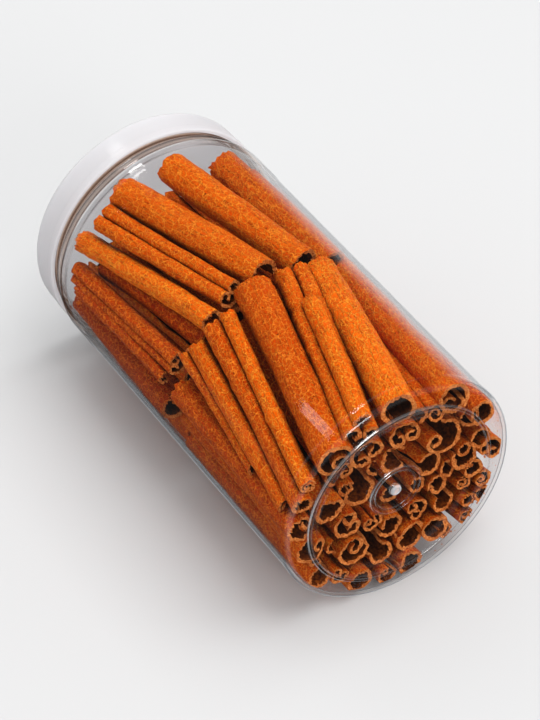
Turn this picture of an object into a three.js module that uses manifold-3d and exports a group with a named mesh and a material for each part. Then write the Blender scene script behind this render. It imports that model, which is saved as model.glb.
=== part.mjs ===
// A clear screw-top jar lying on its side, packed with two tiers of cinnamon quills laid end to end.
// Millimetres, +Z up. The jar's axis runs along X: its base faces +X and its lid -X. The origin lies
// under the middle of the jar, on the surface that it rests on.

import * as THREE from 'three';
import { mergeVertices } from 'three/addons/utils/BufferGeometryUtils.js';
import Module from 'manifold-3d';

const wasm = await Module();
wasm.setup();

// Driving dimensions. Heights are measured along the jar's axis, from the foot ring up to the lid.
const JAR_RADIUS = 43;
const TOTAL_LENGTH = 164;
const WALL = 1;
const RESTING_FLAT_DEPTH = 0.3;

const FOOT_RING_RADIUS = 34.4;
const FOOT_RING_WIDTH = 1.4;
const FOOT_RING_HEIGHT = 0.4;
const HEEL_RADIUS = 3.2;
const HEEL_RISE = 0.4;
const PUSH_UP_RADIUS = 31;
const PUSH_UP_HEIGHT = 2.2;
const PUSH_UP_CENTRE_HEIGHT = 3.6;
const PUSH_UP_ROUNDING = 2;
const LENS_RADIUS = 9.5;
const LENS_STEP = 0.7;
const GATE_NUB_RADIUS = 2.2;
const GATE_NUB_HEIGHT = 0.9;

const PANEL_RECESS = 0.25;
const PANEL_FROM = 11;
const PANEL_TO = 132;
const PANEL_STEP_LENGTH = 1;

const SHOULDER_HEIGHT = 143.5;
const SHOULDER_LENGTH = 3;
const COLLAR_RADIUS = 41.3;
const BEAD_RADIUS = 41.9;
const BEAD_HEIGHT = 148.6;
const BEAD_HALF_LENGTH = 0.8;
const NECK_RADIUS = 40.2;
const NECK_WALL = 1.4;
const NECK_FROM = 150.6;
const MOUTH_HEIGHT = 161.6;

const LID_RADIUS = 42.6;
const LID_EDGE_HEIGHT = 151.3;
const LID_WALL = 1.6;
const LID_TOP_THICKNESS = 2;
const LID_TOP_ROUNDING = 2.5;
const LID_EDGE_ROUNDING = 0.5;
const LID_BAND_LENGTH = 3.2;
const LID_BAND_STEP = 0.25;
const LID_DISC_RADIUS = 36.5;
const LID_DISC_RECESS = 0.5;

const TURN_SEGMENTS = 40;
const ARC_STEPS = 3;

const STICK_SIDES = 8;
const STICK_WALL_GAP = 0.6;
const CORE_RADIUS = 37;
const CORE_SIDES = 20;

const degrees = THREE.MathUtils.degToRad;
const axisHeight = JAR_RADIUS - RESTING_FLAT_DEPTH;

const clearPlastic = new THREE.MeshStandardMaterial({
  color: 0xeef1f3, roughness: 0.06, metalness: 0, transparent: true, opacity: 0.3,
});
const whitePlastic = new THREE.MeshStandardMaterial({ color: 0xf1f1f4, roughness: 0.22, metalness: 0 });
const cinnamonBark = new THREE.MeshStandardMaterial({ color: 0xb5561a, roughness: 0.85, metalness: 0 });

// The X of a height above the foot ring.
const alongAxis = (height) => TOTAL_LENGTH / 2 - height;

// Points [radius, height] along an arc round a centre. The arc may be drawn out along the axis.
function arc(centreRadius, centreHeight, radius, fromDegrees, toDegrees, axialRadius = radius) {
  return Array.from({ length: ARC_STEPS + 1 }, (_, step) => {
    const angle = degrees(THREE.MathUtils.lerp(fromDegrees, toDegrees, step / ARC_STEPS));
    return [centreRadius + radius * Math.cos(angle), centreHeight + axialRadius * Math.sin(angle)];
  });
}

// A body of revolution round the jar's axis. The profile is a run of [radius, height] points that
// starts and ends on the axis. Heights run against X, so the points are taken from last to first.
function turned(profile) {
  const points = profile.map(([radius, height]) => new THREE.Vector2(radius, alongAxis(height))).reverse();
  const geometry = new THREE.LatheGeometry(points, TURN_SEGMENTS);
  geometry.rotateZ(-Math.PI / 2);
  return geometry;
}

function toSolid(geometry) {
  const bare = geometry.index ? geometry.clone() : geometry.toNonIndexed();
  bare.deleteAttribute('normal');
  bare.deleteAttribute('uv');
  const merged = mergeVertices(bare, 1e-4);
  return new wasm.Manifold(new wasm.Mesh({
    numProp: 3,
    vertProperties: merged.attributes.position.array,
    triVerts: new Uint32Array(merged.index.array),
  }));
}

function toGeometry(solid) {
  const { vertProperties, triVerts } = solid.getMesh();
  const geometry = new THREE.BufferGeometry();
  geometry.setAttribute('position', new THREE.BufferAttribute(vertProperties, 3));
  geometry.setIndex(new THREE.BufferAttribute(triVerts, 1));
  geometry.computeVertexNormals();
  return geometry;
}

// The jar's outside, from the middle of the base, over the heel and up to the mouth.
function jarOutside() {
  const heelStart = JAR_RADIUS - HEEL_RADIUS;
  const heelCentre = HEEL_RISE + HEEL_RADIUS;
  const panelRadius = JAR_RADIUS - PANEL_RECESS;
  return [
    [0, PUSH_UP_CENTRE_HEIGHT - GATE_NUB_HEIGHT],
    [GATE_NUB_RADIUS * 0.7, PUSH_UP_CENTRE_HEIGHT - GATE_NUB_HEIGHT],
    [GATE_NUB_RADIUS, PUSH_UP_CENTRE_HEIGHT],
    [LENS_RADIUS, PUSH_UP_CENTRE_HEIGHT],
    [LENS_RADIUS + LENS_STEP, PUSH_UP_CENTRE_HEIGHT - LENS_STEP],
    [PUSH_UP_RADIUS - PUSH_UP_ROUNDING, PUSH_UP_HEIGHT],
    [PUSH_UP_RADIUS, PUSH_UP_HEIGHT - FOOT_RING_HEIGHT * 2],
    [FOOT_RING_RADIUS - FOOT_RING_WIDTH, FOOT_RING_HEIGHT],
    [FOOT_RING_RADIUS, 0],
    ...arc(heelStart, heelCentre, HEEL_RADIUS, -90, 0),
    [JAR_RADIUS, PANEL_FROM - PANEL_STEP_LENGTH],
    [panelRadius, PANEL_FROM],
    [panelRadius, PANEL_TO],
    [JAR_RADIUS, PANEL_TO + PANEL_STEP_LENGTH],
    ...arc(COLLAR_RADIUS, SHOULDER_HEIGHT, JAR_RADIUS - COLLAR_RADIUS, 0, 90, SHOULDER_LENGTH),
    [COLLAR_RADIUS, BEAD_HEIGHT - BEAD_HALF_LENGTH],
    [BEAD_RADIUS, BEAD_HEIGHT],
    [COLLAR_RADIUS, BEAD_HEIGHT + BEAD_HALF_LENGTH],
    [NECK_RADIUS, NECK_FROM],
    [NECK_RADIUS, MOUTH_HEIGHT],
  ];
}

// The jar's inside, from the mouth back down to the middle of the base.
function jarInside() {
  const insideHeel = HEEL_RADIUS - WALL;
  const insideRadius = JAR_RADIUS - WALL - PANEL_RECESS;
  return [
    [NECK_RADIUS - NECK_WALL, MOUTH_HEIGHT],
    [NECK_RADIUS - NECK_WALL, NECK_FROM - 1],
    [COLLAR_RADIUS - WALL, SHOULDER_HEIGHT + SHOULDER_LENGTH - 1],
    [insideRadius, SHOULDER_HEIGHT - 1],
    ...arc(insideRadius - insideHeel, WALL + HEEL_RISE + insideHeel, insideHeel, 0, -90),
    [FOOT_RING_RADIUS, WALL],
    [PUSH_UP_RADIUS, PUSH_UP_HEIGHT],
    [PUSH_UP_RADIUS - PUSH_UP_ROUNDING, PUSH_UP_HEIGHT + WALL],
    [LENS_RADIUS, PUSH_UP_CENTRE_HEIGHT + WALL],
    [0, PUSH_UP_CENTRE_HEIGHT + WALL],
  ];
}

// The jar is turned, then gets the narrow flat on its underside that it lies on.
function makeJar() {
  const shell = toSolid(turned([...jarOutside(), ...jarInside()]));
  const below = new THREE.BoxGeometry(TOTAL_LENGTH * 2, JAR_RADIUS * 2, JAR_RADIUS);
  below.translate(0, 0, -axisHeight - JAR_RADIUS / 2);
  return toGeometry(shell.subtract(toSolid(below)));
}

// The lid is a cap whose top edge is rounded, with a band round its lower edge and a sunk top disc.
function makeLid() {
  const skirtInside = LID_RADIUS - LID_WALL;
  const roundCentre = TOTAL_LENGTH - LID_TOP_ROUNDING;
  const bandTop = LID_EDGE_HEIGHT + LID_BAND_LENGTH;
  return turned([
    [0, TOTAL_LENGTH - LID_TOP_THICKNESS],
    [skirtInside - LID_EDGE_ROUNDING, TOTAL_LENGTH - LID_TOP_THICKNESS],
    [skirtInside, TOTAL_LENGTH - LID_TOP_THICKNESS - LID_EDGE_ROUNDING],
    [skirtInside, LID_EDGE_HEIGHT + LID_EDGE_ROUNDING],
    [skirtInside + LID_EDGE_ROUNDING, LID_EDGE_HEIGHT],
    [LID_RADIUS - LID_EDGE_ROUNDING, LID_EDGE_HEIGHT],
    [LID_RADIUS, LID_EDGE_HEIGHT + LID_EDGE_ROUNDING],
    [LID_RADIUS, bandTop],
    [LID_RADIUS - LID_BAND_STEP, bandTop + LID_BAND_STEP],
    ...arc(LID_RADIUS - LID_BAND_STEP - LID_TOP_ROUNDING, roundCentre, LID_TOP_ROUNDING, 0, 90),
    [LID_DISC_RADIUS + LID_DISC_RECESS, TOTAL_LENGTH],
    [LID_DISC_RADIUS, TOTAL_LENGTH - LID_DISC_RECESS],
    [0, TOTAL_LENGTH - LID_DISC_RECESS],
  ]);
}

// A straight quill between two points.
function quill(from, to, diameter) {
  const way = new THREE.Vector3().subVectors(to, from);
  const geometry = new THREE.CylinderGeometry(diameter / 2, diameter / 2, way.length(), STICK_SIDES);
  const turn = new THREE.Quaternion().setFromUnitVectors(new THREE.Vector3(0, 1, 0), way.clone().normalize());
  geometry.applyQuaternion(turn);
  geometry.translate((from.x + to.x) / 2, (from.y + to.y) / 2, (from.z + to.z) / 2);
  return toSolid(geometry);
}

function inJar(radius, angle, height) {
  return new THREE.Vector3(
    alongAxis(height), radius * Math.cos(degrees(angle)), radius * Math.sin(degrees(angle)),
  );
}

// How far from the axis a quill's middle lies where the quill leans on the wall, or passes the neck.
function wallReach(diameter, height) {
  const passesNeck = height > SHOULDER_HEIGHT - 2;
  const inside = passesNeck ? NECK_RADIUS - NECK_WALL : JAR_RADIUS - WALL - PANEL_RECESS;
  return inside - STICK_WALL_GAP - diameter / 2;
}

// A quill that leans against the jar's wall, from one angle and height round the axis to another.
function wallQuill({ diameter, lower, upper }) {
  const [foot, head] = [lower, upper].map(([angle, height]) => (
    inJar(wallReach(diameter, height), angle, height)
  ));
  return quill(foot, head, diameter);
}

// Quills inside the bundle stand in rings; only their ends show, each at its own height.
function innerQuills(rings, lowerEnd, upperEnd, unevenness) {
  return rings.flatMap(({ radius, count, diameter, phase }) => Array.from({ length: count }, (_, index) => {
    const angle = phase + (360 * index) / count;
    const wave = Math.sin(index * 2.4 + radius);
    const otherWave = Math.cos(index * 1.7 + radius);
    return quill(
      inJar(radius, angle, lowerEnd + unevenness * (1 + wave)),
      inJar(radius, angle, upperEnd - unevenness * (1 + otherWave)),
      diameter + 1.2 * wave,
    );
  }));
}

function coreBlock(lowerEnd, upperEnd) {
  const geometry = new THREE.CylinderGeometry(CORE_RADIUS, CORE_RADIUS, upperEnd - lowerEnd, CORE_SIDES);
  geometry.rotateZ(Math.PI / 2);
  geometry.translate(alongAxis((lowerEnd + upperEnd) / 2), 0, 0);
  return toSolid(geometry);
}

// The bundle as one solid. Pockets that its quills close off inside it are filled, so that only the
// shell with the greatest volume, the outer one, is left.
function bundle(wallQuills, inner, core) {
  const joined = [...wallQuills.map(wallQuill), ...inner].reduce((sum, each) => sum.add(each), core);
  const shells = joined.decompose();
  const outer = shells.reduce((widest, shell) => (shell.volume() > widest.volume() ? shell : widest));
  return toGeometry(outer);
}

// Each wall quill: diameter, then [angle round the axis, height] of its lower and its upper end.
// Angles run from +Y over the top (90) to -Y (180) and underneath (270).
const baseTier = [
  { diameter: 11, lower: [53, 6], upper: [33, 78.5] },
  { diameter: 12, lower: [90, 6], upper: [60, 75] },
  { diameter: 8, lower: [114, 4], upper: [83, 73.5] },
  { diameter: 13, lower: [131, 4.5], upper: [105, 74.5] },
  { diameter: 6, lower: [149, 4], upper: [122, 71] },
  { diameter: 7, lower: [159, 4], upper: [132, 71.5] },
  { diameter: 7, lower: [168, 7], upper: [144, 72.5] },
  { diameter: 10, lower: [181, 5], upper: [166, 75] },
  { diameter: 9, lower: [196, 4.5], upper: [184, 76] },
  { diameter: 10, lower: [211, 5], upper: [200, 75] },
  { diameter: 8, lower: [226, 7], upper: [216, 73] },
  { diameter: 11, lower: [241, 5], upper: [231, 76] },
  { diameter: 9, lower: [257, 6], upper: [247, 74] },
  { diameter: 10, lower: [272, 4.5], upper: [262, 75] },
  { diameter: 9, lower: [287, 6], upper: [278, 73] },
  { diameter: 11, lower: [303, 5], upper: [293, 76] },
  { diameter: 8, lower: [319, 7], upper: [309, 74] },
  { diameter: 10, lower: [333, 5], upper: [323, 76] },
  { diameter: 8, lower: [348, 6], upper: [338, 75] },
  { diameter: 9, lower: [2, 5], upper: [351, 76.5] },
  { diameter: 10, lower: [18, 7], upper: [5, 77.5] },
  { diameter: 9, lower: [35, 5], upper: [19, 77.5] },
];

const lidTier = [
  { diameter: 10, lower: [46, 82.5], upper: [40, 150] },
  { diameter: 11.5, lower: [69, 80], upper: [84, 145] },
  { diameter: 11.5, lower: [97, 80], upper: [118, 146] },
  { diameter: 8, lower: [115, 79], upper: [134, 142.5] },
  { diameter: 7, lower: [132, 78], upper: [151, 146] },
  { diameter: 8, lower: [143, 78], upper: [164, 143.5] },
  { diameter: 9, lower: [161, 80], upper: [176, 148] },
  { diameter: 9, lower: [188, 81], upper: [191, 149] },
  { diameter: 10, lower: [203, 80.5], upper: [207, 146] },
  { diameter: 8, lower: [218, 79.5], upper: [222, 148] },
  { diameter: 11, lower: [233, 80.5], upper: [237, 144] },
  { diameter: 9, lower: [249, 80], upper: [252, 149] },
  { diameter: 10, lower: [264, 80.5], upper: [267, 146] },
  { diameter: 9, lower: [280, 79.5], upper: [282, 147] },
  { diameter: 11, lower: [296, 80.5], upper: [297, 145] },
  { diameter: 8, lower: [312, 80], upper: [312, 149] },
  { diameter: 10, lower: [326, 80.5], upper: [326, 146] },
  { diameter: 9, lower: [342, 81.5], upper: [341, 148] },
  { diameter: 10, lower: [358, 82], upper: [356, 144] },
  { diameter: 10, lower: [14, 82.5], upper: [11, 149] },
  { diameter: 9, lower: [30, 83], upper: [26, 146] },
];

const innerRings = [
  { radius: 27.5, count: 12, diameter: 10.5, phase: 6 },
  { radius: 15.5, count: 6, diameter: 11, phase: 20 },
  { radius: 3, count: 1, diameter: 11, phase: 45 },
];

const jar = new THREE.Mesh(makeJar(), clearPlastic);
jar.name = 'jar';

const lid = new THREE.Mesh(makeLid(), whitePlastic);
lid.name = 'lid';

const sticksBaseTier = new THREE.Mesh(
  bundle(baseTier, innerQuills(innerRings, 5.2, 76.5, 1.6), coreBlock(9.5, 72.5)), cinnamonBark,
);
sticksBaseTier.name = 'sticks_base_tier';

const sticksLidTier = new THREE.Mesh(
  bundle(lidTier, innerQuills(innerRings, 80, 150, 1.6), coreBlock(84, 140)), cinnamonBark,
);
sticksLidTier.name = 'sticks_lid_tier';

const filledJar = new THREE.Group();
filledJar.position.z = axisHeight;
filledJar.add(jar, lid, sticksBaseTier, sticksLidTier);

export default filledJar;
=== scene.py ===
"""A clear screw-top jar of cinnamon quills lying on its side, on a pale floor in soft studio light."""

import math

import bpy
import numpy as np
from mathutils import Matrix, Vector


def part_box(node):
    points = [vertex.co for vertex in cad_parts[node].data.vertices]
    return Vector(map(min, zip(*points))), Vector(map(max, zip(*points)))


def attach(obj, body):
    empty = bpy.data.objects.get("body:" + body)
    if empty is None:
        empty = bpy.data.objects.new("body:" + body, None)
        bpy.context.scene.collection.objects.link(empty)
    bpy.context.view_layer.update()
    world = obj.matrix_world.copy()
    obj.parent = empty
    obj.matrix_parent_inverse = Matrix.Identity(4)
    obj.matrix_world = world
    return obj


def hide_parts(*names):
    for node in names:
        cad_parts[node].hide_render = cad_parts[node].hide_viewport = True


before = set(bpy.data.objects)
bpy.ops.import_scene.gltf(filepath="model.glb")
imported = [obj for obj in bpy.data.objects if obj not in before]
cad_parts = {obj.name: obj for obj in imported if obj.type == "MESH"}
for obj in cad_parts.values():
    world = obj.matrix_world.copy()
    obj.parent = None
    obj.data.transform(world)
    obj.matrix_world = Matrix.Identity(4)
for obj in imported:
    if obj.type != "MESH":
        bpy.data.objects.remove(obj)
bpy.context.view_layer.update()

MM = 0.001

# The jar's frame, in millimetres. A height runs along the jar's axis, from the foot ring to the lid.
jar_low, jar_high = (np.array(corner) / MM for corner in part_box("jar"))
lid_low, lid_high = (np.array(corner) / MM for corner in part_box("lid"))
JAR_RADIUS = (jar_high[1] - jar_low[1]) / 2
AXIS_Z = jar_high[2] - JAR_RADIUS
BASE_X = jar_high[0]
TOTAL_LENGTH = BASE_X - lid_low[0]
MOUTH_HEIGHT = BASE_X - jar_low[0]
LID_RADIUS = (lid_high[1] - lid_low[1]) / 2
LID_EDGE_HEIGHT = BASE_X - lid_high[0]

# The jar's base: foot ring, push-up, and a central disc with two rings and a gate nub. The rings' painted
# grey lines and their stronger mirroring are greatest on one side, at this angle in degrees.
WALL = 1.0
FOOT_RING_RADIUS = 34.4
FOOT_RING_TOP = 1.3
PUSH_UP_RADIUS = 31.0
PUSH_UP_HEIGHT = 2.2
CENTRE_HEIGHT = 3.6
DISC_RADIUS = 9.5
INNER_RING_RADIUS = 7.8
NUB_RADIUS = 2.2
NUB_HEIGHT = 0.9
PAINTED_LINES_SIDE = 145.0

# The jar's wall: rounded heel, sunk label panel, shoulder, collar with a bead, and neck. The neck's fine
# bronze rings are painted refraction of the bark seen through its threads.
HEEL_RADIUS = 3.2
HEEL_RISE = 0.4
PANEL_RECESS = 0.25
PANEL_FROM = 6.5
PANEL_TO = 132.0
INSIDE_RADIUS = JAR_RADIUS - WALL - PANEL_RECESS
SHOULDER_HEIGHT = 143.5
COLLAR_RADIUS = 41.3
BEAD_RADIUS = 41.9
BEAD_HEIGHT = 148.6
NECK_RADIUS = 40.2
NECK_WALL = 1.4
NECK_FROM = 150.6
# Where the neck's painted bronze refraction starts and is full, and the pitch of its painted rings.
PAINTED_BRONZE_FROM = 145.4
FULL_PAINTED_BRONZE_FROM = 149.0
PAINTED_RING_PITCH = 1.45

# The lid's wall, and how far the top disc's inner face lies below the lid's top.
LID_WALL_THICKNESS = 1.6
LID_TOP_THICKNESS = 2

LATHE_STEPS = 288

# How far the bark stays from the plastic.
SKIN_GAP = 0.15


# ------------------------------ meshes

def to_world(height, y, z):
    """Jar-frame millimetres to metres. Works on numbers and on arrays."""
    return np.stack(np.broadcast_arrays(BASE_X - height, y, AXIS_Z + z), axis=-1) * MM


def add_mesh(name, points, faces, materials, face_materials=None, sharp_angle=35.0):
    """A mesh object from an array of points and a list of arrays of faces (one corner count each)."""
    counts = np.concatenate([np.full(len(f), f.shape[1]) for f in faces])
    corners = np.concatenate([f.ravel() for f in faces])
    mesh = bpy.data.meshes.new(name)
    mesh.vertices.add(len(points))
    mesh.vertices.foreach_set("co", np.asarray(points, np.float32).ravel())
    mesh.loops.add(len(corners))
    mesh.loops.foreach_set("vertex_index", corners.astype(np.int32))
    mesh.polygons.add(len(counts))
    mesh.polygons.foreach_set("loop_start", (np.cumsum(counts) - counts).astype(np.int32))
    for material in materials:
        mesh.materials.append(material)
    if face_materials is not None:
        mesh.polygons.foreach_set("material_index", face_materials.astype(np.int32))
    mesh.update(calc_edges=True)
    mesh.validate()
    mesh.shade_smooth()
    mesh.set_sharp_from_angle(angle=math.radians(sharp_angle))
    piece = bpy.data.objects.new(name, mesh)
    bpy.context.scene.collection.objects.link(piece)
    return piece


def add_point_values(piece, name, values):
    kind, member = ("FLOAT_VECTOR", "vector") if values.ndim == 2 else ("FLOAT", "value")
    attribute = piece.data.attributes.new(name, kind, "POINT")
    attribute.data.foreach_set(member, values.astype(np.float32).ravel())


def arc(centre_radius, centre_height, radius, start, end, axial_radius=None, steps=10):
    """Points (radius, height) along an arc, from one angle in degrees to another."""
    axial_radius = radius if axial_radius is None else axial_radius
    return [
        (centre_radius + radius * math.cos(angle), centre_height + axial_radius * math.sin(angle))
        for angle in np.radians(np.linspace(start, end, steps + 1))
    ]


def softened(profile, most, steps=4):
    """The profile with each corner drawn as a curve that starts and ends at most so far from it."""
    points = [np.array(p, float) for p in profile]
    result = [points[0]]
    for before, corner, after in zip(points, points[1:], points[2:]):
        cut_in = min(most, 0.45 * np.linalg.norm(corner - before))
        cut_out = min(most, 0.45 * np.linalg.norm(after - corner))
        first = corner + (before - corner) * cut_in / max(np.linalg.norm(before - corner), 1e-9)
        last = corner + (after - corner) * cut_out / max(np.linalg.norm(after - corner), 1e-9)
        for t in np.linspace(0, 1, steps + 1):
            result.append((1 - t) ** 2 * first + 2 * t * (1 - t) * corner + t ** 2 * last)
    result.append(points[-1])
    return result


def lathe(name, profile, material, sharp_angle):
    """A closed body of revolution round the jar's axis. The profile starts and ends on the axis."""
    radius, height = np.array(profile).T
    rings = len(profile) - 2
    angles = np.linspace(0, 2 * math.pi, LATHE_STEPS, endpoint=False)
    grid = to_world(
        height[1:-1, None] + 0 * angles,
        radius[1:-1, None] * np.cos(angles),
        radius[1:-1, None] * np.sin(angles),
    ).reshape(-1, 3)
    grid[:, 2] = np.maximum(grid[:, 2], 0)
    poles = to_world(height[[0, -1]], 0.0, 0.0)
    points = np.concatenate([grid, poles])
    i, j = np.meshgrid(np.arange(rings - 1), np.arange(LATHE_STEPS), indexing="ij")
    k = (j + 1) % LATHE_STEPS
    walls = np.stack([
        i * LATHE_STEPS + j, (i + 1) * LATHE_STEPS + j, (i + 1) * LATHE_STEPS + k, i * LATHE_STEPS + k,
    ], axis=-1).reshape(-1, 4)
    step = np.arange(LATHE_STEPS)
    after = (step + 1) % LATHE_STEPS
    first_pole = np.full(LATHE_STEPS, rings * LATHE_STEPS)
    last_ring = (rings - 1) * LATHE_STEPS
    start_fan = np.stack([first_pole, step, after], axis=-1)
    end_fan = np.stack([first_pole + 1, last_ring + after, last_ring + step], axis=-1)
    return add_mesh(name, points, [walls, start_fan, end_fan], [material], sharp_angle=sharp_angle)


# ------------------------------ jar and lid

def base_outside():
    """From the gate nub over the disc's two rings and the push-up to the foot ring."""
    return softened([
        (0, CENTRE_HEIGHT - NUB_HEIGHT),
        (NUB_RADIUS * 0.45, CENTRE_HEIGHT - NUB_HEIGHT),
        (NUB_RADIUS * 0.55, CENTRE_HEIGHT - NUB_HEIGHT - 0.4),
        (NUB_RADIUS * 0.85, CENTRE_HEIGHT - NUB_HEIGHT - 0.2),
        (NUB_RADIUS, CENTRE_HEIGHT),
        (INNER_RING_RADIUS - 0.7, CENTRE_HEIGHT),
    ], 0.25) + arc(INNER_RING_RADIUS, CENTRE_HEIGHT, 0.5, -180, 0, 0.8) + arc(
        DISC_RADIUS, CENTRE_HEIGHT - 0.2, 0.6, -180, -20, 0.9,
    ) + softened([
        (DISC_RADIUS + 1.4, CENTRE_HEIGHT - 0.6),
        (PUSH_UP_RADIUS - 2, PUSH_UP_HEIGHT),
        (PUSH_UP_RADIUS, PUSH_UP_HEIGHT - 0.8),
        (FOOT_RING_RADIUS - 0.8, 0.8),
    ], 0.5) + arc(FOOT_RING_RADIUS, 0.7, 0.7, -180, -20, steps=12)


def wall_outside():
    """From the foot ring round the heel, along the label panel and over the shoulder."""
    heel_start = JAR_RADIUS - HEEL_RADIUS
    panel_radius = JAR_RADIUS - PANEL_RECESS
    return softened([
        (FOOT_RING_RADIUS + 1.2, 0.55),
        (heel_start, HEEL_RISE),
    ], 0.3) + arc(heel_start, HEEL_RISE + HEEL_RADIUS, HEEL_RADIUS, -90, 0, steps=14) + softened([
        (JAR_RADIUS, PANEL_FROM - 1.6),
        (panel_radius, PANEL_FROM),
        (panel_radius, PANEL_FROM + 2),
        (panel_radius, PANEL_TO - 2),
        (panel_radius, PANEL_TO),
        (JAR_RADIUS, PANEL_TO + 1),
        (JAR_RADIUS, SHOULDER_HEIGHT - 1),
    ], 0.6) + arc(COLLAR_RADIUS, SHOULDER_HEIGHT, JAR_RADIUS - COLLAR_RADIUS, 0, 90, 3, steps=10)


def neck_outside():
    """From the collar over its bead and the first thread to the mouth."""
    return softened([
        (COLLAR_RADIUS, 147.2),
        (COLLAR_RADIUS, BEAD_HEIGHT - 0.8),
        (BEAD_RADIUS, BEAD_HEIGHT),
        (COLLAR_RADIUS, BEAD_HEIGHT + 0.8),
        (NECK_RADIUS, NECK_FROM),
    ], 0.4) + arc(NECK_RADIUS, NECK_FROM + 1.5, 0.7, -90, 90, 0.7) + softened([
        (NECK_RADIUS, NECK_FROM + 2.6),
        (NECK_RADIUS, MOUTH_HEIGHT),
        (NECK_RADIUS - NECK_WALL, MOUTH_HEIGHT),
    ], 0.4)


def jar_inside():
    """From the neck down the wall and across the base to its middle."""
    heel_radius = HEEL_RADIUS - WALL
    return softened([
        (NECK_RADIUS - NECK_WALL, NECK_FROM - 1),
        (COLLAR_RADIUS - WALL, SHOULDER_HEIGHT + 2),
        (INSIDE_RADIUS, SHOULDER_HEIGHT - 1),
        (INSIDE_RADIUS, SHOULDER_HEIGHT - 4),
        (INSIDE_RADIUS, PANEL_FROM),
    ], 1.0) + arc(
        INSIDE_RADIUS - heel_radius, WALL + HEEL_RISE + heel_radius, heel_radius, 0, -90, steps=12,
    ) + softened([
        (FOOT_RING_RADIUS + 1.5, WALL + 0.3),
        (FOOT_RING_RADIUS, WALL),
        (PUSH_UP_RADIUS, PUSH_UP_HEIGHT),
        (PUSH_UP_RADIUS - 2, PUSH_UP_HEIGHT + WALL),
        (DISC_RADIUS, CENTRE_HEIGHT + WALL),
        (0, CENTRE_HEIGHT + WALL),
    ], 1.0)


def jar_profile():
    return base_outside() + wall_outside() + neck_outside() + jar_inside()


def places(piece):
    """Height along the jar's axis, and y and z from the axis, of each of a piece's points."""
    points = np.empty(3 * len(piece.data.vertices), np.float32)
    piece.data.vertices.foreach_get("co", points)
    x, y, z = points.reshape(-1, 3).T / MM
    return BASE_X - x, y, z - AXIS_Z


def mark_lid_inside(lid):
    """Marks the lid's inner faces, which glow with the light that comes through the lid."""
    height, y, z = places(lid)
    within_skirt = np.hypot(y, z) < LID_RADIUS - LID_WALL_THICKNESS + 0.3
    below_top = height < TOTAL_LENGTH - LID_TOP_THICKNESS + 0.2
    add_point_values(lid, "inside", (within_skirt & below_top) * 1.0)


def mark_mouldings_and_painted_refraction(jar):
    """Marks on the jar's points: beads and rings that act as lenses, painted grey in place of the lines
    their refraction makes; the neck's painted bronze refraction; the frosted gate nub; and the tightly
    curved heel, where the outline's painted shade starts sooner."""
    height, y, z = places(jar)
    radius = np.hypot(y, z)
    on_base = height < CENTRE_HEIGHT + 0.2
    on_foot = height < FOOT_RING_TOP
    # How strongly the rings' painted lines show, greatest on one side; the plastic is no thicker there.
    thickness = 0.5 + 0.5 * np.cos(np.arctan2(z, y) - math.radians(PAINTED_LINES_SIDE))
    # What each lens is measured by, the middle of it, how far it reaches each way, and its strength.
    lenses = (
        (radius, FOOT_RING_RADIUS, 0.8, on_foot * (0.1 + 0.9 * thickness)),
        (radius, INNER_RING_RADIUS, 0.6, on_base * (0.1 + 0.7 * thickness)),
        (radius, DISC_RADIUS, 0.7, on_base * (0.1 + 0.7 * thickness)),
        (radius, NUB_RADIUS + 0.1, 0.3, on_base * 0.6),
        (height, BEAD_HEIGHT, 0.7, 0.7),
        (height, SHOULDER_HEIGHT + 1.0, 0.45, 0.9),
    )
    lens = sum(
        strength * np.exp(-((value - middle) / each_way) ** 2)
        for value, middle, each_way, strength in lenses
    )
    # Painted refraction: the neck's outside turns bronze from here up, for the bark seen through its
    # threads.
    tint = 0.75 * np.clip((height - PAINTED_BRONZE_FROM) / 0.4, 0, 1)
    tint += 0.25 * np.clip((height - FULL_PAINTED_BRONZE_FROM) / 0.5, 0, 1)
    tint *= radius > reach(height) + 0.5
    frost = np.clip((NUB_RADIUS - 0.1 - radius) / 0.1, 0, 1) * on_base
    add_point_values(jar, "moulded", np.stack([np.clip(lens, 0, 1), tint, frost], axis=-1))
    # The heel's mark makes the painted shade on the outline start sooner there.
    on_heel = (height < HEEL_RISE + HEEL_RADIUS) & (radius > FOOT_RING_RADIUS + HEEL_RADIUS)
    add_point_values(jar, "heel", on_heel * 1.0)


def lid_profile():
    """The lid from the middle of its inner face, down the skirt, up the outside and over the low rim."""
    skirt_inside = LID_RADIUS - LID_WALL_THICKNESS
    inner_face = TOTAL_LENGTH - LID_TOP_THICKNESS
    band_top = LID_EDGE_HEIGHT + 3.2
    upper_radius = LID_RADIUS - 0.25
    return softened([
        (0, inner_face),
        (skirt_inside - 0.5, inner_face),
        (skirt_inside, inner_face - 0.5),
        (skirt_inside, LID_EDGE_HEIGHT + 0.5),
        (skirt_inside + 0.5, LID_EDGE_HEIGHT),
        (LID_RADIUS - 0.4, LID_EDGE_HEIGHT),
        (LID_RADIUS, LID_EDGE_HEIGHT + 0.4),
        (LID_RADIUS, band_top),
        (upper_radius, band_top + 0.25),
    ], 0.3) + arc(upper_radius - 2.5, TOTAL_LENGTH - 2.5, 2.5, 0, 90, steps=12) + softened([
        (38, TOTAL_LENGTH),
        (37, TOTAL_LENGTH),
        (36.5, TOTAL_LENGTH - 0.5),
        (0, TOTAL_LENGTH - 0.5),
    ], 0.3)


# ------------------------------ quills

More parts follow.
